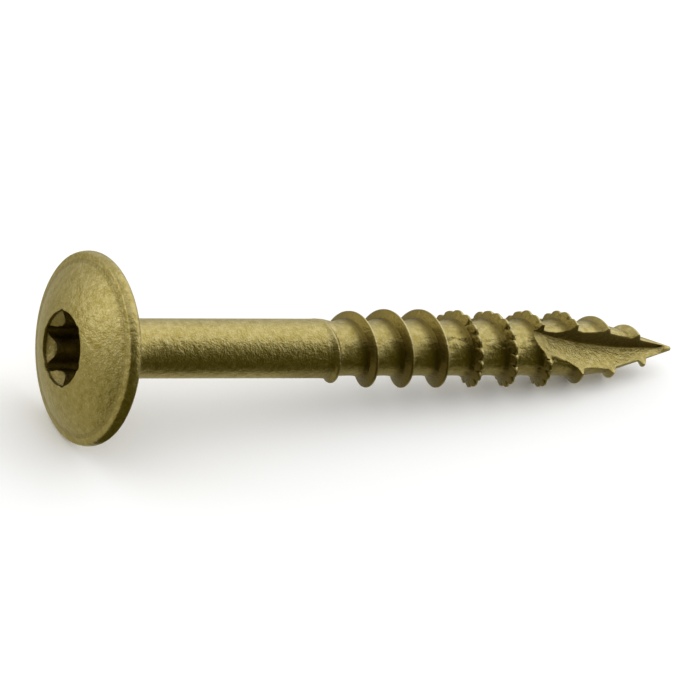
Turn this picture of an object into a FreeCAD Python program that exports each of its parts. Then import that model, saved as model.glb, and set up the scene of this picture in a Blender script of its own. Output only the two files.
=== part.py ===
import FreeCAD
import Part
import math
import os

from FreeCAD import Vector

# Lag screw for timber, in one piece, lying at rest on the rim of its head and on its thread.
# A low dome on a thin flange, with a six-lobe recess, stands over a short neck and a
# plain shank. A coarse right-hand thread grows out of the shank, is serrated over its middle
# turns and runs down a gimlet point that has a milled cutting flute.
# The screw is built upright: height 0 is the bearing face under the flange, heights grow
# towards the tip, and angles are counted from +X. It is then rolled and laid down.
# Lengths are in millimetres and angles in degrees.

# Head: a flange whose rim is rounded in narrow bands, and a low dome inside its sloping annulus
flange_diameter = 14.0
flange_thickness = 1.02
flange_slope = 14.0
rim_front_radius = 1.3
rim_front_bands = 3
rim_back_radius = 0.32
rim_back_bands = 4
annulus_width = 0.66
dome_height = 3.14
dome_blend_radius = 1.4

# Six-lobe drive recess, entered over a round step with a conical lead-in below it
recess_point_diameter = 5.6
recess_waist_diameter = 3.95
recess_lobe_radius = 0.45
recess_depth = 2.7
recess_floor_angle = 130.0
recess_step_diameter = 5.1
recess_step_depth = 0.18
recess_lead_in_angle = 90.0

# Neck and plain shank
neck_diameter = 5.7
neck_length = 3.05
neck_fillet = 0.5
shank_diameter = 4.32
shank_length = 18.6
shank_step_length = 1.2

# Core under the thread, and the point: an ogive drawn in bands, a cone and a blunt nose
length = 49.2
root_diameter = 3.96
point_half_angle = 15.6
ogive_radius = 15.0
ogive_bands = 3
nose_radius = 0.18

# Thread: a thin ridge with wide open roots
pitch = 3.0
thread_lead_in = 0.4
major_diameter = 5.74
foot_width = 0.86
crest_width = 0.12
run_in_turns = 2.0
point_thread_height = 0.52
fall_lead = 1.5
fall_length = 2.4
fade_length = 1.6
bare_tip_length = 0.85
ridge_bury = 0.16

# Serration: scallops with two shoulders each, parted by V notches
# The notches lean into the flank that faces the head. A shoulder's offset from the middle of
# its scallop is a share of the notches' spacing, and its rise a share of their depth.
first_notch_turn = 3.67
notch_angle = 21.8
scallop_count = 57
notch_depth = 0.23
notch_lean = 0.08
shoulder_offset = 0.3
shoulder_rise = 0.7

# Cutting flute, left by a disc cutter whose flat side runs along the screw's axis
cutter_radius = 27.0
cutter_touch_from_tip = 2.75
flute_wall_angle = 52.5

# Resting pose: the roll about the screw's own axis
rest_roll = 145.0

# Worked out from the sizes above
flange_radius = flange_diameter / 2
rim_front_height = flange_thickness - rim_back_radius
rim_front_angle = math.degrees(math.asin(rim_front_height / rim_front_radius))
front_edge_inset = rim_front_radius - math.sqrt(rim_front_radius**2 - rim_front_height**2)
front_edge_radius = flange_radius - front_edge_inset
foot_radius = front_edge_radius - annulus_width
foot_height = -flange_thickness - annulus_width * math.tan(math.radians(flange_slope))
dome_rise = dome_height + foot_height
dome_radius = (foot_radius**2 + dome_rise**2) / (2 * dome_rise)
dome_centre = dome_radius - dome_height
mouth_height = dome_centre - math.sqrt(dome_radius**2 - (recess_point_diameter / 2) ** 2)
neck_radius = neck_diameter / 2
shank_radius = shank_diameter / 2
root_radius = root_diameter / 2
major_radius = major_diameter / 2
half_angle = math.radians(point_half_angle)
ogive_length = ogive_radius * math.sin(half_angle)
ogive_end_radius = root_radius - ogive_radius * (1 - math.cos(half_angle))
nose_shoulder = nose_radius * math.cos(half_angle)
nose_length = nose_radius * (1 - math.sin(half_angle))
cone_length = (ogive_end_radius - nose_shoulder) / math.tan(half_angle)
point_start = length - nose_length - cone_length - ogive_length
thread_start = shank_length - thread_lead_in
thread_end = length - bare_tip_length

# The upright screw's own directions
centre = Vector(0, 0, 0)
axis = Vector(0, 0, 1)


def section_point(radius, height):
    """A point of a half section that is turned about the axis."""
    return Vector(radius, 0, height)


def polar(radius, angle, height):
    """A point at a distance from the axis, an angle from +X and a height."""
    turned_by = math.radians(angle)
    return Vector(radius * math.cos(turned_by), radius * math.sin(turned_by), height)


def arc(start, middle, end):
    """The arc of a circle through three points."""
    return Part.Arc(start, middle, end).toShape()


def lines(points):
    """Straight edges from each point to the next."""
    return [Part.makeLine(start, end) for start, end in zip(points, points[1:])]


def banded_round(radius, first_angle, last_angle, bands):
    """Points along a rounding of the rim, where 0 is the crown and 90 the bearing face."""
    points = []
    for band in range(bands + 1):
        angle = math.radians(first_angle + (last_angle - first_angle) * band / bands)
        inset = radius * (1 - math.cos(angle))
        points.append(
            section_point(flange_radius - inset, radius * math.sin(angle) - rim_back_radius)
        )
    return points


def turned(section):
    """The solid that a closed half section makes when it is turned about the axis."""
    return Part.Face(Part.Wire(section)).revolve(centre, axis, 360)


def rings(solid, height, radius):
    """The circular edges of a turned solid that have one height and one radius."""
    return [
        edge
        for edge in solid.Edges
        if not edge.Degenerated
        and isinstance(edge.Curve, Part.Circle)
        and abs(edge.Curve.Center.z - height) < 1e-5
        and abs(edge.Curve.Radius - radius) < 1e-5
    ]


def make_head():
    """Dome, flange, rounded rim and tapered neck, turned in one."""
    half_way = math.asin(foot_radius / dome_radius) / 2
    apex = section_point(0, -dome_height)
    on_dome = section_point(
        dome_radius * math.sin(half_way), dome_centre - dome_radius * math.cos(half_way)
    )
    dome_end = section_point(foot_radius, foot_height)
    rim = banded_round(rim_front_radius, -rim_front_angle, 0, rim_front_bands)
    rim += banded_round(rim_back_radius, 0, 90, rim_back_bands)[1:]
    neck_start = section_point(neck_radius, 0)
    neck_end = section_point(shank_radius, neck_length)
    bottom = section_point(0, neck_length)
    head = turned(
        [arc(apex, on_dome, dome_end)]
        + lines([dome_end] + rim + [neck_start, neck_end, bottom, apex])
    )
    head = head.makeFillet(dome_blend_radius, rings(head, foot_height, foot_radius))
    return head.makeFillet(neck_fillet, rings(head, 0, neck_radius))


def make_core():
    """Plain shank, the thinner core under the thread, and the point with its blunt nose."""
    to_nose_middle = (math.pi / 2 - half_angle) / 2
    top = section_point(0, neck_length)
    shank_top = section_point(shank_radius, neck_length)
    shank_bottom = section_point(shank_radius, shank_length)
    root_top = section_point(root_radius, shank_length + shank_step_length)
    ogive = []
    for band in range(ogive_bands + 1):
        height = point_start + ogive_length * band / ogive_bands
        ogive.append(section_point(core_radius(height), height))
    nose_start = section_point(nose_shoulder, length - nose_length)
    nose_middle = section_point(
        nose_radius * math.sin(to_nose_middle),
        length - nose_radius * (1 - math.cos(to_nose_middle)),
    )
    tip = section_point(0, length)
    shank = [top, shank_top, shank_bottom, root_top]
    return turned(lines(shank + ogive + [nose_start, nose_middle, tip, top]))


def core_radius(height):
    """Radius of the core at a height: level, then the ogive, then the straight cone."""
    along = height - point_start
    if along <= 0:
        return root_radius
    if along <= ogive_length:
        return root_radius - ogive_radius + math.sqrt(ogive_radius**2 - along**2)
    return ogive_end_radius - (along - ogive_length) * math.tan(half_angle)


def turn_at(height):
    """The number of turns of the thread from its start to a height."""
    return (height - thread_start) / pitch


def ease(value):
    """A smooth step from 0 to 1, level outside them."""
    share = min(max(value, 0.0), 1.0)
    return share**2 * (3 - 2 * share)


def crest_radius(turn):
    """The crest leaves the shank, stays level, falls to the point's thread and fades out."""
    height = thread_start + pitch * turn
    full = major_radius - root_radius
    fallen = ease((height - point_start + fall_lead) / fall_length)
    faded = ease((height - thread_end + fade_length) / fade_length)
    ridge = full + (point_thread_height - full) * fallen
    ridge -= (ridge + ridge_bury / 2) * faded
    to_go = 1 - min(turn / run_in_turns, 1.0)
    return core_radius(height) + ridge - (major_radius - shank_radius) * to_go**2


def ridge_section(turn, rise):
    """The four corners of the ridge's section, from the foot facing the head to the other.

    The crest stands at its full height where the rise is 1 and at a notch's bottom where it
    is 0.
    """
    angle = 360 * turn
    height = thread_start + pitch * turn
    foot_radius = core_radius(height) - ridge_bury
    top_radius = crest_radius(turn) - notch_depth * (1 - rise)
    lean = notch_lean * (1 - rise)
    return [
        polar(foot_radius, angle, height - foot_width / 2),
        polar(top_radius, angle, height - crest_width / 2 + lean),
        polar(top_radius, angle, height + crest_width / 2),
        polar(foot_radius, angle, height + foot_width / 2),
    ]


def smooth_edges(start, end):
    """The four corners followed round a smooth stretch of the ridge."""
    steps = max(3, math.ceil(24 * (end - start)))
    sections = [ridge_section(start + (end - start) * i / steps, 1.0) for i in range(steps + 1)]
    edges = []
    for corner in zip(*sections):
        curve = Part.BSplineCurve()
        curve.interpolate(list(corner))
        edges.append(curve.toShape())
    return edges


def ridge_stations():
    """The turns at which the ridge is divided, each with the crest's rise there."""
    step = notch_angle / 360
    scallop = [(-0.5, 0.0), (-shoulder_offset, shoulder_rise), (0.0, 1.0)]
    scallop.append((shoulder_offset, shoulder_rise))
    serrated = [
        (first_notch_turn + step * (number - 0.5 + along), rise)
        for number in range(scallop_count + 2)
        for along, rise in scallop
    ]
    serrated = serrated[2:-1]
    end_turn = turn_at(thread_end)
    first_whole = math.ceil(serrated[-1][0] + 0.2)
    before = [(float(turn), 1.0) for turn in range(math.ceil(first_notch_turn - step))]
    after = [(float(turn), 1.0) for turn in range(first_whole, math.ceil(end_turn - 0.2))]
    return before + serrated + after + [(end_turn, 1.0)]


def make_ridge():
    """The thread: two flanks and a narrow crest, ruled between edges that wind round the core."""
    stations = ridge_stations()
    faces = []
    for station in (stations[0], stations[-1]):
        corners = ridge_section(*station)
        faces.append(Part.Face(Part.makePolygon(corners + corners[:1])))
    for start, end in zip(stations, stations[1:]):
        if start[1] == end[1]:
            edges = smooth_edges(start[0], end[0])
        else:
            corner_pairs = zip(ridge_section(*start), ridge_section(*end))
            edges = [Part.makeLine(near, far) for near, far in corner_pairs]
        for near, far in zip(edges, edges[1:] + edges[:1]):
            faces.append(Part.makeRuledSurface(near, far, 1))
    ridge = Part.makeSolid(Part.makeShell(faces))
    if ridge.Volume < 0:
        ridge.reverse()
    return ridge


def make_recess():
    """The six-lobe recess: a straight bore, a stepped mouth with a lead-in, a coned floor."""
    point_radius = recess_point_diameter / 2
    waist_radius = recess_waist_diameter / 2
    lobe_centre = point_radius - recess_lobe_radius
    across = math.cos(math.radians(30))
    gap_squared = lobe_centre**2 + waist_radius**2 - 2 * lobe_centre * waist_radius * across
    spare = waist_radius - lobe_centre * across - recess_lobe_radius
    hollow_radius = (recess_lobe_radius**2 - gap_squared) / (2 * spare)
    hollow_centre = waist_radius + hollow_radius
    to_joint = recess_lobe_radius / (recess_lobe_radius + hollow_radius)
    top = -dome_height - 1
    floor = mouth_height + recess_depth
    outline = []
    for lobe in range(6):
        angle = 60 * lobe
        middle = polar(lobe_centre, angle, top)
        before = polar(hollow_centre, angle - 30, top)
        after = polar(hollow_centre, angle + 30, top)
        next_middle = polar(lobe_centre, angle + 60, top)
        lobe_start = middle + (before - middle) * to_joint
        lobe_end = middle + (after - middle) * to_joint
        hollow_end = next_middle + (after - next_middle) * to_joint
        outline.append(arc(lobe_start, polar(point_radius, angle, top), lobe_end))
        outline.append(arc(lobe_end, polar(waist_radius, angle + 30, top), hollow_end))
    bore = Part.Face(Part.Wire(outline)).extrude(axis * (floor - top))
    floor_depth = waist_radius / math.tan(math.radians(recess_floor_angle / 2))
    coned_floor = Part.makeCone(waist_radius, 0, floor_depth, Vector(0, 0, floor), axis)
    step_radius = recess_step_diameter / 2
    step_floor = mouth_height + recess_step_depth
    step = Part.makeCylinder(step_radius, step_floor - top, Vector(0, 0, top), axis)
    lead_in_depth = step_radius / math.tan(math.radians(recess_lead_in_angle / 2))
    lead_in = Part.makeCone(step_radius, 0, lead_in_depth, Vector(0, 0, step_floor), axis)
    return bore.fuse([coned_floor, step, lead_in])


def make_flute():
    """The disc cutter in place: its flat side holds the axis and its edge touches it."""
    touch_height = length - cutter_touch_from_tip
    middle = polar(cutter_radius, flute_wall_angle, touch_height)
    return Part.makeCylinder(
        cutter_radius, major_diameter, middle, polar(1, flute_wall_angle + 90, 0)
    )


def resting_tilt():
    """How far the tip dips: the floor holds the rim of the head and the first crest it meets."""
    slopes = []
    for step in range(int(turn_at(thread_end) * 60)):
        turn = step / 60
        below = crest_radius(turn) * math.cos(math.radians(360 * turn + rest_roll))
        along = thread_start + pitch * turn + rim_back_radius
        slopes.append((flange_radius - below) / along)
    return math.degrees(math.atan(min(slopes)))


def lay_down(screw):
    """Rolls the screw, turns its axis to +X with the tip dipped, and sets it on height 0."""
    screw.rotate(centre, axis, rest_roll)
    screw.rotate(centre, Vector(0, 1, 0), 90 + resting_tilt())
    box = screw.optimalBoundingBox()
    screw.translate(Vector(-box.Center.x, -box.Center.y, -box.ZMin))
    return screw


def make_lag_screw():
    """The whole screw: the turned blank with its thread, then the flute and the recess."""
    blank = make_head().fuse(make_core()).removeSplitter()
    screw = blank.fuse(make_ridge()).cut(make_flute()).cut(make_recess())
    return lay_down(screw)


os.makedirs("parts", exist_ok=True)
lag_screw = make_lag_screw()
lag_screw.exportStep("parts/lag_screw.step")
print("valid:", lag_screw.isValid())
print("solids:", len(lag_screw.Solids), "faces:", len(lag_screw.Faces))
print("volume:", round(lag_screw.Volume, 2))
print("dips by:", round(resting_tilt(), 3))
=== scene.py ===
import math

import bpy
import numpy as np
from mathutils import Matrix


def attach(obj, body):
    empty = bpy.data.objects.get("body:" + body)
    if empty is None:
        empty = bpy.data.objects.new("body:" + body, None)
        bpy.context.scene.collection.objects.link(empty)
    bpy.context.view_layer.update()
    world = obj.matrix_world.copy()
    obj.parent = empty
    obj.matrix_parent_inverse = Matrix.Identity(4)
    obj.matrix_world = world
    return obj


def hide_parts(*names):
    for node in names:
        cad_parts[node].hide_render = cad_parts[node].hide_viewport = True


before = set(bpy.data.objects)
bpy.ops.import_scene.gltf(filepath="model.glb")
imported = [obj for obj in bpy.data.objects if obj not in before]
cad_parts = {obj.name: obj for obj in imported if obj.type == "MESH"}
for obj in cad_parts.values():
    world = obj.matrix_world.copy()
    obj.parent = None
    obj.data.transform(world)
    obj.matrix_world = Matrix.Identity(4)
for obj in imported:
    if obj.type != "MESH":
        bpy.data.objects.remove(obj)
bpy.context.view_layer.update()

# The camera stands above the head's end and looks down on the screw as it lies on its rim and
# thread. It is a long lens, so that the shank's two sides stay nearly parallel.

DIP = math.radians(6.152)
SCREW_AXIS = np.array([math.cos(DIP), 0.0, -math.sin(DIP)])
SEAT_MM = np.array([-22.9154, 0.0, 6.9292])
NEAR_RISE = math.radians(35.0)
AIM_FROM_AXIS = math.radians(58.6)
AIM_BEFORE_SEAT_MM = 0.6
CAMERA_BACK_MM = 628.5
CAMERA_SIDE_MM = 18.7
CAMERA_DOWN_MM = 0.114
FOCAL_PX = 8800.0
PICTURE_PX = 700
SENSOR_MM = 36.0


def looking_from_the_head():
    """The camera's place and its right, up and back directions.

    Near is the direction square to the screw's axis that points at the viewer, raised by
    NEAR_RISE. The line of sight leans from it towards the axis.
    """
    across = np.array([0.0, -1.0, 0.0])
    over = np.cross(across, SCREW_AXIS)
    over *= np.sign(over[2])
    near = math.sin(NEAR_RISE) * over + math.cos(NEAR_RISE) * across
    up = math.cos(NEAR_RISE) * over - math.sin(NEAR_RISE) * across
    sight = math.cos(AIM_FROM_AXIS) * SCREW_AXIS - math.sin(AIM_FROM_AXIS) * near
    right = math.sin(AIM_FROM_AXIS) * SCREW_AXIS + math.cos(AIM_FROM_AXIS) * near
    place = SEAT_MM - AIM_BEFORE_SEAT_MM * SCREW_AXIS
    place = place + CAMERA_SIDE_MM * right - CAMERA_DOWN_MM * up
    return place - CAMERA_BACK_MM * sight, right, up, -sight


def set_camera():
    """Turns the camera so that its axes are the right, up and back directions."""
    place, right, up, back = looking_from_the_head()
    data = bpy.data.cameras.new("photo_camera")
    data.sensor_width = SENSOR_MM
    data.lens = FOCAL_PX / PICTURE_PX * SENSOR_MM
    data.clip_start = 0.01
    camera = bpy.data.objects.new("photo_camera", data)
    bpy.context.collection.objects.link(camera)
    turn = np.eye(4)
    turn[:3, :3] = np.column_stack([right, up, back])
    turn[:3, 3] = place / 1000
    camera.matrix_world = Matrix(turn)
    bpy.context.scene.camera = camera


set_camera()

# The head is cold-forged in one with the shank: a low dome on a thin flange, with a six-lobe
# recess punched into it. The skin follows the solid, with its edges softened as forging
# leaves them. Every height is counted from the bearing face towards the tip, in millimetres.

COLUMN_STEP = 4 / 3
WALL_COLUMNS = 6
FLUTE_ANGLE = 52.5
FLANGE_RADIUS = 7.0
FLANGE_THICKNESS = 1.08
FLANGE_SLOPE = math.radians(14.0)
ANNULUS_WIDTH = 0.66
RIM_FRONT_RADIUS = 1.3
RIM_BACK_RADIUS = 0.58
DOME_HEIGHT = 3.14
DOME_BLEND = 1.4
DOME_START = 3.15
LOBE_POINT_RADIUS = 2.8
LOBE_WAIST_RADIUS = 1.975
LOBE_RADIUS = 0.45
RECESS_DEPTH = 2.7
RECESS_FLOOR_HALF_ANGLE = math.radians(65.0)
RECESS_STEP_RADIUS = 2.7
RECESS_STEP_DEPTH = 0.265
RECESS_LEAD_IN = math.radians(115.0)
RECESS_EDGE_ROUNDING = 0.04
MOUTH_ROUNDING = 0.06
RIM_EDGE_ROUNDING = 0.07
RIM_EDGE_TURN = 0.05
NECK_RADIUS = 2.85
NECK_LENGTH = 3.05
NECK_FILLET = 0.5
SHANK_RADIUS = 2.16


def column_angles():
    """Angles round the axis in degrees, and how far each column has moved in at the flute.

    The first columns all stand at the flute's wall, where the outline steps from the outside
    to the flute's floor in equal shares. The others are evenly spaced.
    """
    at_wall = np.full(WALL_COLUMNS + 1, FLUTE_ANGLE)
    rest = FLUTE_ANGLE + np.arange(COLUMN_STEP, 360 - COLUMN_STEP / 2, COLUMN_STEP)
    moved_in = np.concatenate([np.linspace(0, 1, WALL_COLUMNS + 1), np.ones(len(rest))])
    return np.concatenate([at_wall, rest]), moved_in


def dome_shape():
    """The dome's radius, the height of its centre, the sloping annulus's outer radius and the
    angle at which the rim's front rounding meets it.

    The dome is the sphere through its top and through the annulus's inner edge.
    """
    rim_angle = math.asin((FLANGE_THICKNESS - RIM_BACK_RADIUS) / RIM_FRONT_RADIUS)
    edge_radius = FLANGE_RADIUS - RIM_FRONT_RADIUS * (1 - math.cos(rim_angle))
    foot_radius = edge_radius - ANNULUS_WIDTH
    rise = DOME_HEIGHT - FLANGE_THICKNESS - ANNULUS_WIDTH * math.tan(FLANGE_SLOPE)
    dome_radius = (foot_radius**2 + rise**2) / (2 * rise)
    return dome_radius, dome_radius - DOME_HEIGHT, edge_radius, rim_angle


def dome_height_at(radius):
    """Height of the dome's surface at a distance from the axis, by the circle's equation."""
    dome_radius, dome_centre, _, _ = dome_shape()
    return dome_centre - np.sqrt(dome_radius**2 - radius**2)


def lobed_radius(angle):
    """Radius of the six-lobe outline: a round lobe each 60 degrees, with hollows between.

    A lobe is an arc about a centre on its own line, a hollow one about a centre outside the
    recess, and they touch where the two centres' line crosses them.
    """
    centre = LOBE_POINT_RADIUS - LOBE_RADIUS
    across = math.cos(math.radians(30))
    gap = centre**2 + LOBE_WAIST_RADIUS**2 - 2 * centre * LOBE_WAIST_RADIUS * across
    spare = LOBE_WAIST_RADIUS - centre * across - LOBE_RADIUS
    hollow = (LOBE_RADIUS**2 - gap) / (2 * spare)
    hollow_centre = LOBE_WAIST_RADIUS + hollow
    share = LOBE_RADIUS / (LOBE_RADIUS + hollow)
    joint_x = centre + (hollow_centre * across - centre) * share
    joint_y = hollow_centre * 0.5 * share
    from_lobe = np.radians(np.abs((angle + 30) % 60 - 30))
    from_hollow = math.radians(30) - from_lobe
    on_lobe = centre * np.cos(from_lobe) + np.sqrt(
        np.maximum(LOBE_RADIUS**2 - (centre * np.sin(from_lobe)) ** 2, 0)
    )
    on_hollow = hollow_centre * np.cos(from_hollow) - np.sqrt(
        np.maximum(hollow**2 - (hollow_centre * np.sin(from_hollow)) ** 2, 0)
    )
    return np.where(from_lobe < math.atan2(joint_y, joint_x), on_lobe, on_hollow)


def recess_grid(angle):
    """Radii and heights of the recess, in rows from the middle of its floor out to the dome.

    The coned floor and the straight wall follow the six-lobe outline. A wide cone leads from
    the outline out to a round step, and the mouth is the wider of the two.
    """
    lobed = lobed_radius(angle)
    mouth = np.maximum(lobed, RECESS_STEP_RADIUS)
    mouth_height = dome_height_at(mouth)
    step_height = dome_height_at(LOBE_POINT_RADIUS) + RECESS_STEP_DEPTH
    floor_height = dome_height_at(LOBE_POINT_RADIUS) + RECESS_DEPTH
    inward = np.array([0, 0.25, 0.5, 0.75, 0.93, 1])[:, None] * lobed
    coned = np.maximum(LOBE_WAIST_RADIUS - inward, 0) / math.tan(RECESS_FLOOR_HALF_ANGLE)
    radii = [inward, *[lobed] * 4]
    heights = [floor_height + coned]
    lead_foot = step_height + (mouth - lobed) / math.tan(RECESS_LEAD_IN / 2)
    lead_foot = lead_foot + RECESS_EDGE_ROUNDING
    for share in (0.06, 0.4, 0.75, 0.97):
        heights.append(floor_height + (lead_foot - floor_height) * share)
    for share in (0.06, 0.35, 0.65, 0.94):
        radii.append(lobed + (mouth - lobed) * share)
        heights.append(lead_foot + (step_height - lead_foot) * share - 0.01)
    radii += [mouth, mouth, mouth, mouth + MOUTH_ROUNDING / 3]
    heights.append(np.full_like(mouth, step_height - RECESS_EDGE_ROUNDING))
    for share in (0.4, 0.75, 0.93):
        heights.append(step_height + (mouth_height - step_height) * share)
    edge = mouth + MOUTH_ROUNDING
    for share in (0, 0.25, 0.6):
        radii.append(edge + (DOME_START - edge) * share)
        heights.append(dome_height_at(radii[-1]))
    return np.vstack(radii), np.vstack(heights)


def round_points(centre, radius, first, last, count):
    """Points on an arc in the half section, from one angle to another in radians."""
    angle = np.linspace(first, last, count)
    return np.array(centre) + radius * np.column_stack([np.cos(angle), np.sin(angle)])


def straight_points(start, end, count):
    """Points on a straight run in the half section, its first point left out."""
    share = np.linspace(0, 1, count + 1)[1:, None]
    return np.array(start) * (1 - share) + np.array(end) * share


def head_section(shank_end):
    """Half section of the head from the dome round the rim and the neck to the plain shank.

    The blend between dome and annulus is an arc that touches both: its centre lies outside
    the dome's circle and off the annulus's line by the arc's own radius.
    """
    dome_radius, dome_centre_height, edge_radius, rim_angle = dome_shape()
    dome_centre = np.array([0.0, dome_centre_height])
    edge = np.array([edge_radius, -FLANGE_THICKNESS])
    along = np.array([math.cos(FLANGE_SLOPE), math.sin(FLANGE_SLOPE)])
    out = np.array([math.sin(FLANGE_SLOPE), -math.cos(FLANGE_SLOPE)])
    start = edge + DOME_BLEND * out - dome_centre
    reach = math.sqrt((start @ along) ** 2 - start @ start + (dome_radius + DOME_BLEND) ** 2)
    blend_centre = edge + DOME_BLEND * out + (reach - start @ along) * along
    to_dome = dome_centre - blend_centre
    dome_last = math.asin(blend_centre[0] / (dome_radius + DOME_BLEND))
    quarter = math.pi / 2
    first = math.asin(DOME_START / dome_radius) - quarter
    dome = round_points(dome_centre, dome_radius, first, dome_last - quarter, 13)
    blend_first = math.atan2(to_dome[1], to_dome[0])
    blend_last = math.atan2(-out[1], -out[0])
    blend = round_points(blend_centre, DOME_BLEND, blend_first, blend_last, 9)[1:]
    annulus = straight_points(blend[-1], edge - RIM_EDGE_ROUNDING * along, 3)
    front_centre = (FLANGE_RADIUS - RIM_FRONT_RADIUS, -RIM_BACK_RADIUS)
    front = round_points(front_centre, RIM_FRONT_RADIUS, RIM_EDGE_TURN - rim_angle, 0, 7)
    rear_centre = (FLANGE_RADIUS - RIM_BACK_RADIUS, -RIM_BACK_RADIUS)
    rear = round_points(rear_centre, RIM_BACK_RADIUS, 0, quarter, 9)[1:]
    lean = math.atan2(NECK_RADIUS - SHANK_RADIUS, NECK_LENGTH)
    fillet_radius = NECK_RADIUS + NECK_FILLET * (1 - math.sin(lean)) / math.cos(lean)
    face = straight_points(rear[-1], (fillet_radius, 0), 5)
    fillet_centre = (fillet_radius, NECK_FILLET)
    fillet = round_points(fillet_centre, NECK_FILLET, -quarter, -math.pi - lean, 8)[1:]
    neck = straight_points(fillet[-1], (SHANK_RADIUS, NECK_LENGTH), 5)
    shank = straight_points(neck[-1], (SHANK_RADIUS, shank_end), 12)
    return np.vstack([dome, blend, annulus, front, rear, face, fillet, neck, shank])


# The thread is rolled into the blank: a thin ridge with wide roots, right-handed. Its lower
# turns are serrated by the rolling die, which also dents the roots there. The point carries
# a flute, milled by a disc whose flat side runs along the axis.

LENGTH = 49.2
ROOT_RADIUS = 1.98
SHANK_LENGTH = 18.6
SHANK_STEP = 1.2
POINT_HALF_ANGLE = math.radians(15.6)
OGIVE_RADIUS = 15.0
NOSE_RADIUS = 0.18
OGIVE_LENGTH = OGIVE_RADIUS * math.sin(POINT_HALF_ANGLE)
OGIVE_END_RADIUS = ROOT_RADIUS - OGIVE_RADIUS * (1 - math.cos(POINT_HALF_ANGLE))
NOSE_LENGTH = NOSE_RADIUS * (1 - math.sin(POINT_HALF_ANGLE))
CONE_LENGTH = OGIVE_END_RADIUS / math.tan(POINT_HALF_ANGLE) - (
    NOSE_RADIUS * math.cos(POINT_HALF_ANGLE) / math.tan(POINT_HALF_ANGLE)
)
POINT_START = LENGTH - NOSE_LENGTH - CONE_LENGTH - OGIVE_LENGTH
PITCH = 3.0
THREAD_START = 18.2
THREAD_END = 48.35
CREST_RADIUS = 2.87
CREST_HEAD = 0.12
CREST_TIP = 0.06
FLANK_RUN_HEAD = 0.42
FLANK_RUN_TIP = 0.37
FILLET_HEAD = 0.25
FILLET_TIP = 0.15
FILLET_REACH = 0.92
FOOT_HEAD = 0.45
FOOT_TIP = 0.36
BEAD_HEIGHT = 0.04
BEAD_PLACE = -0.74
BEAD_WIDTH = 0.07
UNION_REACH = 0.07
EDGE_ROUNDING = 0.03
CREST_LINE_PLACE = 0.01
CREST_LINE_HALF = 0.09
CREST_LINE_RISE = 0.3
# Place and run of the painted shade on the head-side flank, and place and width of the painted
# shade in the root corner.
FLANK_MARK_PLACE = -0.55
FLANK_MARK_RUN = 0.8
CORNER_PLACE = -0.58
CORNER_WIDTH = 0.24
RIDGE_BURY = 0.16
LEAD_TURNS = 2
LEAD_POWER = 2.4
ROOT_GROWTH_TURNS = 1.2
ROOT_FADE_RUN = 4.0
POINT_THREAD_HEIGHT = 0.52
POINT_THREAD_LEAD = 1.5
POINT_THREAD_RUN = 2.4
CREST_FADE_RUN = 1.6
FIRST_NOTCH_TURN = 3.67
NOTCH_TURNS = 21.8 / 360
SCALLOPS = 57
NOTCH_DEPTH = 0.34
NOTCH_SLANT = -0.9
NOTCH_SHARES = (0.72, 1.25)
KNOB_CUTS = (0.0, 0.32)
SCALLOP_POWERS = (1.7, 3.4)
SCALLOP_FADE = 0.35
DENTS = 650
DENTS_START = 28.6
DENTS_END = 45.5
DENT_SIZES = (0.08, 0.2)
DENT_DEPTHS = (0.02, 0.085)
CUTTER_RADIUS = 27.0
CUTTER_TOUCH = LENGTH - 2.75
CUTTER_OFF_AXIS = 0.05
FLOOR_LEAST = 0.03
FLOOR_TILT = math.radians(9.0)
WHOLE_TIP_START = 47.9
WHOLE_TIP_RUN = 0.9
WHOLE_TIP_RISE = 0.3
THREAD_TOP = 17.2
NOSE_TOP = 48.8
RIDGES = 12


def ease(value):
    """A smooth step from 0 to 1, level outside them: 3 t squared less 2 t cubed."""
    share = np.clip(value, 0, 1)
    return share**2 * (3 - 2 * share)


def root_radius(height):
    """Radius between the ridges: level, then an arc, then the straight cone of the point."""
    along = height - POINT_START
    arc_drop = OGIVE_RADIUS - np.sqrt(OGIVE_RADIUS**2 - np.clip(along, 0, OGIVE_LENGTH) ** 2)
    cone_drop = np.maximum(along - OGIVE_LENGTH, 0) * math.tan(POINT_HALF_ANGLE)
    return ROOT_RADIUS - arc_drop - cone_drop


def core_radius(height):
    """The root with the step up to the plain shank at one end and the round nose at the other."""
    step = np.clip((height - SHANK_LENGTH) / SHANK_STEP, 0, 1)
    radius = root_radius(height) + (SHANK_RADIUS - ROOT_RADIUS) * (1 - ease(step))
    below = np.clip(height - LENGTH + NOSE_RADIUS, 0, NOSE_RADIUS)
    return np.where(height > LENGTH - NOSE_LENGTH, np.sqrt(NOSE_RADIUS**2 - below**2), radius)


def crest_radius(turn):
    """Radius of the crest: it leaves the shank, stays level, falls at the point and fades out."""
    height = THREAD_START + PITCH * turn
    full = CREST_RADIUS - ROOT_RADIUS
    at_point = ease((height - POINT_START + POINT_THREAD_LEAD) / POINT_THREAD_RUN)
    ridge = full + (POINT_THREAD_HEIGHT - full) * at_point
    ridge = ridge - (ridge + RIDGE_BURY / 2) * ease((height - THREAD_END) / CREST_FADE_RUN + 1)
    to_go = 1 - np.clip(turn / LEAD_TURNS, 0, 1)
    return root_radius(height) + ridge - (CREST_RADIUS - SHANK_RADIUS) * to_go**LEAD_POWER


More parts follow.
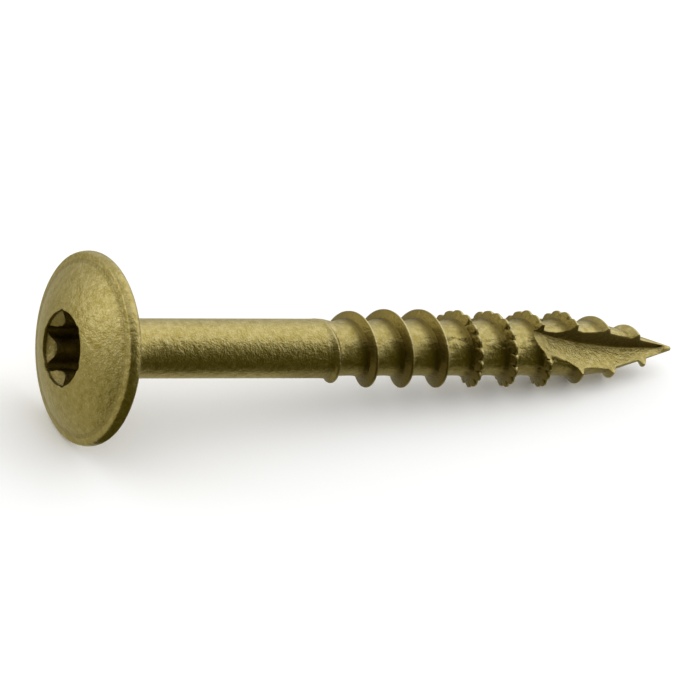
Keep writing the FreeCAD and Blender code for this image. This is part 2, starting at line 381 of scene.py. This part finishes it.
def notch_cut(turn):
    """How far the serration cuts down the crest, from 0 on a knob to about 1 in a notch.

    Within a scallop the cut grows with a power of the distance from its middle. Each notch
    has its own depth and each knob its own height and sharpness, as the worn die leaves them.
    """
    uneven = np.random.default_rng(11)
    depths = uneven.uniform(*NOTCH_SHARES, SCALLOPS + 2)
    knobs = uneven.uniform(*KNOB_CUTS, SCALLOPS + 1)
    powers = uneven.uniform(*SCALLOP_POWERS, SCALLOPS + 1)
    place = (turn - FIRST_NOTCH_TURN) / NOTCH_TURNS + 0.5
    number = np.clip(np.floor(place), 0, SCALLOPS).astype(int)
    within = place - number
    shape = np.clip(np.abs(2 * within - 1), 0, 1) ** powers[number]
    depth = np.where(within < 0.5, depths[number], depths[number + 1])
    cut = knobs[number] + (depth - knobs[number]) * shape
    cut = np.where((place < 0.5) | (place > SCALLOPS + 0.5), 0, cut)
    ends = ease((place - 0.5) / SCALLOP_FADE) * ease((SCALLOPS + 0.5 - place) / SCALLOP_FADE)
    return cut * ends


def dents(angle, height):
    """How deep the serrating die has dented the roots, as a sum of small round dents.

    One dent's depth falls off with the distance from its middle as exp(-(distance / size)^2),
    where the distance is measured over the root's surface.
    """
    uneven = np.random.default_rng(5)
    depth = np.zeros(np.broadcast(angle, height).shape)
    for _ in range(DENTS):
        middle = uneven.uniform(DENTS_START, DENTS_END)
        turned = uneven.uniform(0, 360)
        size = uneven.uniform(*DENT_SIZES)
        deep = uneven.uniform(*DENT_DEPTHS)
        round_way = np.radians((angle - turned + 180) % 360 - 180) * ROOT_RADIUS
        depth += deep * np.exp(-(round_way**2 + (height - middle) ** 2) / size**2)
    return depth


def thread_surface(angle, ridge, height):
    """Radius of the thread's surface, with marks for the crest, and for the head-side flank and
    root corner that take painted shade.

    The ridge is a wedge about its own turn's height, its top lowered where a notch is cut. The
    root is a valley: it rises to the ridge at each side with the square of the distance. A
    low bead runs along the foot of the head side. A smooth union joins the two: where m is the
    wedge's share, the radius is (1 - m) valley + m wedge + reach m (1 - m).
    """
    turn = angle / 360 + ridge
    offset = height - THREAD_START - PITCH * turn
    core = core_radius(height)
    cut = notch_cut(turn)
    top = crest_radius(turn)
    beyond = np.maximum(np.maximum(-CREST_HEAD - offset, offset - CREST_TIP), 0)
    run = np.where(offset < 0, FLANK_RUN_HEAD, FLANK_RUN_TIP)
    fall = np.maximum(top - core + RIDGE_BURY, 0)
    from_middle = np.abs(offset + (CREST_HEAD - CREST_TIP) / 2) / ((CREST_HEAD + CREST_TIP) / 2)
    rounding = np.clip(2 - beyond / EDGE_ROUNDING, 0, 1) * np.clip(from_middle - 0.6, 0, 1)
    wedge = top - fall * beyond / run - EDGE_ROUNDING * rounding
    notched = top - NOTCH_DEPTH * cut * np.maximum(1 + NOTCH_SLANT * offset, 0.5)
    wedge = np.where(turn > 0, np.minimum(wedge, notched), core - RIDGE_BURY)
    full = ease(turn / ROOT_GROWTH_TURNS) * (1 - ease((height - POINT_START) / ROOT_FADE_RUN))
    head_foot = np.clip(1 + (offset + FOOT_HEAD) / FILLET_REACH, 0, 1) ** 2 * (offset < 0)
    tip_foot = np.clip(1 - (offset - FOOT_TIP) / FILLET_REACH, 0, 1) ** 2 * (offset > 0)
    bead = BEAD_HEIGHT * np.exp(-(((offset - BEAD_PLACE) / BEAD_WIDTH) ** 2))
    valley = core + (FILLET_HEAD * head_foot + FILLET_TIP * tip_foot + bead) * full
    valley = valley - dents(angle, height)
    mixed = np.clip(0.5 + 0.5 * (wedge - valley) / UNION_REACH, 0, 1)
    radius = valley * (1 - mixed) + wedge * mixed + UNION_REACH * mixed * (1 - mixed)
    crest = np.clip(1 - np.abs(offset - CREST_LINE_PLACE) / CREST_LINE_HALF, 0, 1)
    crest = crest * mixed * ease((top - valley) / CREST_LINE_RISE)
    # Painted shade: the flank mark darkens the head-side flank and the root next to it, and the
    # corner mark darkens the foot of that flank.
    flank = ease(1 + (offset - FLANK_MARK_PLACE) / FLANK_MARK_RUN) * (offset < 0) * full
    corner = np.exp(-(((offset - CORNER_PLACE) / CORNER_WIDTH) ** 2)) * full
    return radius, crest, flank * (1 - crest), corner


def cut_by_flute(radius, angle, moved_in, height):
    """Keeps the radius outside the disc cutter's sweep, and marks what the cutter has cut.

    The disc's edge is off the axis by R - sqrt(R^2 - d^2) and a little more, where d is the
    distance along the axis from its nearest point. It keeps clear of the very tip. In the
    quarter that it cuts, the radius of the leaning floor is that distance times cos(lean)
    over cos(angle from the wall - lean).
    """
    drop = np.clip(height - CUTTER_TOUCH, -CUTTER_RADIUS, CUTTER_RADIUS)
    floor = CUTTER_RADIUS - np.sqrt(CUTTER_RADIUS**2 - drop**2)
    floor = CUTTER_OFF_AXIS + np.maximum(floor, FLOOR_LEAST)
    floor = floor + WHOLE_TIP_RISE * ease((height - WHOLE_TIP_START) / WHOLE_TIP_RUN)
    turned = np.radians((angle - FLUTE_ANGLE) % 360)
    inside = turned < math.pi / 2 - 1e-6
    tilted = floor * math.cos(FLOOR_TILT) / np.maximum(np.cos(turned - FLOOR_TILT), 1e-6)
    limit = np.where(inside, tilted, 1e3)
    cut = np.minimum(radius, limit)
    touched = ((cut < radius - 1e-4) & (moved_in > 0)).astype(float)
    return radius * (1 - moved_in) + cut * moved_in, touched


def pitch_offsets():
    """Heights of one pitch's rows from the ridge's middle, close together on the ridge."""
    head_side = [1.2, 0.98, 0.85, 0.79, 0.74, 0.68, 0.58, 0.48, 0.38, 0.27, 0.17, 0.122, 0.09]
    tip_side = [0.03, 0.062, 0.13, 0.22, 0.31, 0.4, 0.52, 0.7, 0.92, 1.2]
    return np.array([-PITCH / 2] + [-offset for offset in head_side] + [0.0] + tip_side)


SEAT = SEAT_MM / 1000
ROLL = math.radians(145.0)


def laid_down(points):
    """Rolls the upright screw by 145 degrees, dips its tip and moves it to where it rests."""
    lean = math.pi / 2 + DIP
    roll_by = np.array(
        [[math.cos(ROLL), -math.sin(ROLL), 0], [math.sin(ROLL), math.cos(ROLL), 0], [0, 0, 1]]
    )
    lean_by = np.array(
        [[math.cos(lean), 0, math.sin(lean)], [0, 1, 0], [-math.sin(lean), 0, math.cos(lean)]]
    )
    return points @ (lean_by @ roll_by).T / 1000 + SEAT


def ring_faces(first, rows, columns, turn_rows=0):
    """Four-sided faces between neighbouring rows, wound so that they face outwards.

    The last column meets the first one, which stands a full turn of rows further down.
    """
    row, column = np.meshgrid(np.arange(rows - 1 - turn_rows), np.arange(columns), indexing="ij")
    next_row = row + np.where(column == columns - 1, turn_rows, 0)
    next_column = (column + 1) % columns
    corners = [row * columns + column, next_row * columns + next_column]
    corners += [(next_row + 1) * columns + next_column, (row + 1) * columns + column]
    return first + np.stack(corners, axis=-1).reshape(-1, 4)


NOSE_ROWS = [48.9, 48.99, 49.06, 49.11, 49.15, 49.18, 49.195]
# Painted shade in the hollows: the rows of the recess wall and of the groove round the dome, and
# how strongly each hollow is darkened.
RECESS_WALL_ROWS = slice(5, 15)
GROOVE_ROWS = slice(35, 41)
RECESS_SHADE = 0.55
GROOVE_SHADE = 0.25
FLUTE_WALL_SHADE = 0.75
CORNER_SHADE = 0.5


def screw_mesh():
    """The whole skin: the recess and the head as rings, the thread as a spiral, the nose.

    Three marks go with the points: the crest, the head-side flank, and the hollows. The last
    two carry painted shade.
    """
    angle, moved_in = column_angles()
    count = len(angle)
    recess_radius, recess_height = recess_grid(angle)
    section = head_section(THREAD_TOP)
    head_radius = np.vstack([recess_radius, np.repeat(section[:, :1], count, axis=1)])
    head_height = np.vstack([recess_height, np.repeat(section[:, 1:], count, axis=1)])

    offsets = pitch_offsets()
    ridge = np.repeat(np.arange(-1, RIDGES), len(offsets))[:, None]
    offset = np.tile(offsets, RIDGES + 1)[:, None]
    height = np.clip(THREAD_START + PITCH * (angle / 360 + ridge) + offset, THREAD_TOP, NOSE_TOP)
    radius, crest, flank, corner = thread_surface(angle, ridge, height)
    radius, cut = cut_by_flute(radius, angle, moved_in, height)

    nose = np.array([NOSE_TOP, *NOSE_ROWS, LENGTH])
    nose_height = np.repeat(nose[:, None], count, axis=1)
    nose_radius, _ = cut_by_flute(core_radius(nose_height), angle, moved_in, nose_height)

    radii = np.vstack([head_radius, radius, nose_radius])
    heights = np.vstack([head_height, height, nose_height])
    turned = np.radians(angle)
    upright = np.stack([radii * np.cos(turned), radii * np.sin(turned), heights], axis=-1)
    head_rows, thread_rows = len(head_radius), len(radius)
    faces = [
        ring_faces(0, head_rows, count),
        ring_faces(head_rows * count, thread_rows, count, len(offsets)),
        ring_faces((head_rows + thread_rows) * count, len(nose), count),
    ]
    # Painted shade: how dark the recess wall, the groove round the dome, the flute's wall and the
    # root corners are made.
    head_painted_shade = np.zeros_like(head_radius)
    head_painted_shade[RECESS_WALL_ROWS] = RECESS_SHADE
    head_painted_shade[GROOVE_ROWS] = GROOVE_SHADE
    hollow = FLUTE_WALL_SHADE * cut * (moved_in < 1) + CORNER_SHADE * corner * (1 - cut)
    plain_head, plain_nose = np.zeros_like(head_radius), np.zeros_like(nose_radius)
    marks = {
        "crest": np.vstack([plain_head, crest * (1 - cut), plain_nose]).ravel(),
        "flank": np.vstack([plain_head, flank * (1 - cut), plain_nose]).ravel(),
        "hollow": np.vstack([head_painted_shade, hollow, plain_nose]).ravel(),
    }
    return laid_down(upright.reshape(-1, 3)), np.vstack(faces), marks


KEYS_PER_METRE = 1e7


def merged(points, faces, marks):
    """Joins points that fall on each other, and drops the faces that this leaves flat."""
    keys = np.round(points * KEYS_PER_METRE).astype(np.int64)
    _, kept, where = np.unique(keys, axis=0, return_index=True, return_inverse=True)
    faces = where.reshape(-1)[faces]
    repeated = faces == np.roll(faces, -1, axis=1)
    pinched = (faces[:, 0] == faces[:, 2]) | (faces[:, 1] == faces[:, 3])
    whole = faces[(repeated.sum(axis=1) == 0) & ~pinched]
    once = (repeated.sum(axis=1) == 1) & ~pinched
    three = faces[once][~repeated[once]].reshape(-1, 3)
    kept_marks = {name: mark[kept] for name, mark in marks.items()}
    return points[kept], whole.tolist() + three.tolist(), kept_marks


SHARP_ANGLE = math.radians(42.0)

points, faces, marks = merged(*screw_mesh())
screw_skin = bpy.data.meshes.new("screw_skin")
screw_skin.from_pydata(points.tolist(), [], faces)
screw_skin.validate()
for name, mark in marks.items():
    screw_skin.attributes.new(name, "FLOAT", "POINT").data.foreach_set("value", mark)
screw_skin.shade_smooth()
screw_skin.set_sharp_from_angle(angle=SHARP_ANGLE)
screw = bpy.data.objects.new("screw_skin", screw_skin)
bpy.context.collection.objects.link(screw)


# The finish is a satin ceramic-type coating in olive bronze over zinc, baked on in a basket.
# It takes the light as a dull metal does: a fine grain, shallow pits from the blasted wire,
# brighter where the crests have rubbed. Shade is painted into its colour on the thread's
# head-side flanks and in the hollows: the recess wall, the groove round the dome, the flute's
# wall and the root corners.


def linear(code):
    """The linear colour of an sRGB hex code, with alpha 1."""
    parts = [int(code[i : i + 2], 16) / 255 for i in (1, 3, 5)]
    return [p / 12.92 if p <= 0.04045 else ((p + 0.055) / 1.055) ** 2.4 for p in parts] + [1.0]


def add(tree, kind, inputs=None, links=None, **settings):
    """Adds a node, sets its settings and inputs, and links other nodes' outputs to it."""
    node = tree.nodes.new(kind)
    for name, value in settings.items():
        setattr(node, name, value)
    for name, value in (inputs or {}).items():
        node.inputs[name].default_value = value
    for name, output in (links or {}).items():
        tree.links.new(output, node.inputs[name])
    return node


def bronze_coated_steel():
    """Dull bronze-coloured metal with a grain of 0.14 mm, and pits and paler patches of 0.4 mm.

    Shade is painted into its colour on the thread's head-side flanks and in the hollows, and
    the colour pales on the crests where they have rubbed, by the marks on the skin.
    """
    material = bpy.data.materials.new("bronze_coated_steel")
    material.use_nodes = True
    tree = material.node_tree
    tree.nodes.clear()
    place = add(tree, "ShaderNodeTexCoord")
    in_mm = add(
        tree,
        "ShaderNodeMapping",
        {"Scale": (1000, 1000, 1000)},
        {"Vector": place.outputs["Object"]},
    )
    at = {"Vector": in_mm.outputs["Vector"]}
    grain = add(tree, "ShaderNodeTexNoise", {"Scale": 7.0, "Detail": 2.0, "Roughness": 0.6}, at)
    peel = add(tree, "ShaderNodeTexNoise", {"Scale": 2.4, "Detail": 2.0, "Roughness": 0.5}, at)
    mottle = add(tree, "ShaderNodeTexNoise", {"Scale": 2.2, "Detail": 4.0, "Roughness": 0.65}, at)
    crest = add(tree, "ShaderNodeAttribute", attribute_name="crest")
    flank = add(tree, "ShaderNodeAttribute", attribute_name="flank")
    hollow = add(tree, "ShaderNodeAttribute", attribute_name="hollow")
    patches = add(
        tree,
        "ShaderNodeMapRange",
        {"From Min": 0.3, "From Max": 0.7},
        {"Value": mottle.outputs["Fac"]},
    )
    colour = add(
        tree,
        "ShaderNodeMix",
        {"A": linear("#8f803f"), "B": linear("#b1a46e")},
        {"Factor": patches.outputs["Result"]},
        data_type="RGBA",
    )
    specks = add(
        tree,
        "ShaderNodeMapRange",
        {"From Min": 0.58, "From Max": 0.72, "To Max": 0.45},
        {"Value": grain.outputs["Fac"]},
    )
    flecked = add(
        tree,
        "ShaderNodeMix",
        {"B": linear("#d2c9a4")},
        {"Factor": specks.outputs["Result"], "A": colour.outputs["Result"]},
        data_type="RGBA",
    )
    # Painted shade on the head-side flanks and the roots next to them.
    flank_painted_shade = add(
        tree,
        "ShaderNodeMix",
        {"B": linear("#786a36")},
        {"Factor": flank.outputs["Fac"], "A": flecked.outputs["Result"]},
        data_type="RGBA",
    )
    # Painted shade in the hollows: the recess wall, the groove round the dome, the flute's wall
    # and the root corners.
    shaded = add(
        tree,
        "ShaderNodeMix",
        {"B": linear("#50421c")},
        {"Factor": hollow.outputs["Fac"], "A": flank_painted_shade.outputs["Result"]},
        data_type="RGBA",
    )
    worn = add(
        tree,
        "ShaderNodeMix",
        {"B": linear("#b9ad80")},
        {"Factor": crest.outputs["Fac"], "A": shaded.outputs["Result"]},
        data_type="RGBA",
    )
    roughness = add(
        tree,
        "ShaderNodeMapRange",
        {"From Min": 0.3, "From Max": 0.7, "To Min": 0.30, "To Max": 0.42},
        {"Value": grain.outputs["Fac"]},
    )
    peel_bump = add(
        tree,
        "ShaderNodeBump",
        {"Strength": 1.0, "Distance": 0.00005},
        {"Height": peel.outputs["Fac"]},
    )
    grain_bump = add(
        tree,
        "ShaderNodeBump",
        {"Strength": 1.0, "Distance": 0.00004},
        {"Height": grain.outputs["Fac"], "Normal": peel_bump.outputs["Normal"]},
    )
    surface = add(
        tree,
        "ShaderNodeBsdfPrincipled",
        {"Metallic": 1.0},
        {
            "Base Color": worn.outputs["Result"],
            "Roughness": roughness.outputs["Result"],
            "Normal": grain_bump.outputs["Normal"],
        },
    )
    add(tree, "ShaderNodeOutputMaterial", None, {"Surface": surface.outputs["BSDF"]})
    return material


screw_skin.materials.append(bronze_coated_steel())
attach(screw, "root")
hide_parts("lag_screw")

# The studio: a white table in a white room, a large soft lamp at the screw's tip end and a
# small one behind its head. As is usual for metal, felt lies round the screw, a dark cloth in
# front of it and a dark card at its head end. All of these are seen only in the metal. A dimmer
# strip of the felt under the thread is a painted shadow of the screw.


def plain_sheet(name, colour, even):
    """A sheet of one colour: matt, or giving off its colour so that no shadow shows on it."""
    material = bpy.data.materials.new(name)
    material.use_nodes = True
    tree = material.node_tree
    tree.nodes.clear()
    sheet = add(
        tree,
        "ShaderNodeEmission" if even else "ShaderNodeBsdfDiffuse",
        {"Color": linear(colour)},
    )
    add(tree, "ShaderNodeOutputMaterial", None, {"Surface": sheet.outputs[0]})
    return material


def stage_sheet(name, points, faces, colour, even=False):
    """A sheet that is part of the studio and not of the screw."""
    mesh = bpy.data.meshes.new(name)
    mesh.from_pydata(points, [], faces)
    mesh.materials.append(plain_sheet(name, colour, even))
    sheet = bpy.data.objects.new(name, mesh)
    bpy.context.collection.objects.link(sheet)
    return sheet


TABLE_HALF = 0.9
table_corners = [(-1, -1), (1, -1), (1, 1), (-1, 1)]
table_corners = [(x * TABLE_HALF, y * TABLE_HALF, 0) for x, y in table_corners]
stage_sheet("white_table", table_corners, [(0, 1, 2, 3)], "#fbfbfa")


def seen_in_metal_only(name, points, faces, colour, even=False):
    """A sheet that shows in the screw's reflections and nowhere else."""
    sheet = stage_sheet(name, points, faces, colour, even)
    sheet.visible_camera = False
    sheet.visible_diffuse = False
    sheet.visible_shadow = False


FELT_HALF = 0.42
FELT_SPLIT = -0.028
FELT_RISE = 0.0001
# The dimmer strip under the thread is a painted shadow of the screw.
STRIP_X = (-0.006, 0.032)
STRIP_Y = (-0.003, 0.014)
STRIP_RISE = 0.00015


def felt(name, x_ends, y_ends, rise, colour):
    """A rectangle of felt just over the table, bright in its own colour."""
    (left, right), (near, far) = x_ends, y_ends
    corners = [(left, near, rise), (right, near, rise), (right, far, rise), (left, far, rise)]
    seen_in_metal_only(name, corners, [(0, 1, 2, 3)], colour, even=True)


felt("light_felt", (-FELT_HALF, FELT_SPLIT), (-FELT_HALF, FELT_HALF), FELT_RISE, "#cdc9ae")
felt("grey_felt", (FELT_SPLIT, FELT_HALF), (-FELT_HALF, FELT_HALF), FELT_RISE, "#cbc7ae")
# A painted shadow of the screw: dimmer felt under the thread.
felt("painted_shadow_strip", STRIP_X, STRIP_Y, STRIP_RISE, "#a5a18c")

CLOTH_NEAR = 0.0036
CLOTH_FLAT = 0.25
CLOTH_BEND = 0.12
CLOTH_TOP = 0.60
CLOTH_RISE = 0.0002
CLOTH_X = (-0.021, 0.02)
CLOTH_SPREAD = 3.5
CLOTH_LEFT = 0.85
CLOTH_RIGHT = 0.42
DARK_CLOTH = "#524e16"


def dark_cloth():
    """Flat on the table from near the screw, then a quarter round, then upright.

    In plan it is a fan: each end widens with the distance from the screw.
    """
    bend = np.radians(np.linspace(0, 90, 9))
    out = np.concatenate([[CLOTH_NEAR, 0.02, 0.06, 0.13], CLOTH_FLAT + CLOTH_BEND * np.sin(bend)])
    out = np.append(out, out[-1])
    height = np.concatenate([np.zeros(4), CLOTH_BEND * (1 - np.cos(bend)), [CLOTH_TOP]])
    height = height + CLOTH_RISE
    left = CLOTH_X[0] - np.minimum((out - CLOTH_NEAR) * CLOTH_SPREAD, CLOTH_LEFT)
    right = CLOTH_X[1] + (CLOTH_RIGHT - CLOTH_X[1]) * out / out[-1]
    points = [(x, -y, z) for ends in (left, right) for x, y, z in zip(ends, out, height)]
    count = len(out)
    faces = [(i, i + 1, count + i + 1, count + i) for i in range(count - 1)]
    seen_in_metal_only("dark_cloth", points, faces, DARK_CLOTH)


dark_cloth()

CARD_X = -0.45
CARD_FAR = 0.03
CARD_NEAR = -0.10
CARD_TOP = 0.09
card_corners = [(CARD_X, CARD_FAR, 0), (CARD_X, CARD_NEAR, 0)]
card_corners += [(CARD_X, CARD_NEAR, CARD_TOP), (CARD_X, CARD_FAR, CARD_TOP)]
seen_in_metal_only("dark_card", card_corners, [(0, 1, 2, 3)], DARK_CLOTH)


def soft_lamp(name, size, place, brightness):
    """A flat lamp aimed at the screw: its power is pi times its area times its brightness."""
    data = bpy.data.lights.new(name, "AREA")
    data.shape = "RECTANGLE"
    data.size, data.size_y = size
    data.energy = math.pi * size[0] * size[1] * brightness
    lamp = bpy.data.objects.new(name, data)
    bpy.context.collection.objects.link(lamp)
    back = np.array(place) / np.linalg.norm(place)
    right = np.cross([0.0, 0.0, 1.0], back)
    right /= np.linalg.norm(right)
    turn = np.eye(4)
    turn[:3, :3] = np.column_stack([right, np.cross(back, right), back])
    turn[:3, 3] = place
    lamp.matrix_world = Matrix(turn)
    lamp.visible_camera = False


soft_lamp("tip_end_lamp", (1.4, 1.3), (0.80, 0.14, 0.58), 0.61)
soft_lamp("head_end_lamp", (0.32, 0.28), (-0.69, 0.32, 0.235), 1.85)

room = bpy.data.worlds.new("white_room")
room.use_nodes = True
room.node_tree.nodes["Background"].inputs["Color"].default_value = (1, 1, 1, 1)
bpy.context.scene.world = room

bpy.context.scene.view_settings.view_transform = "Standard"
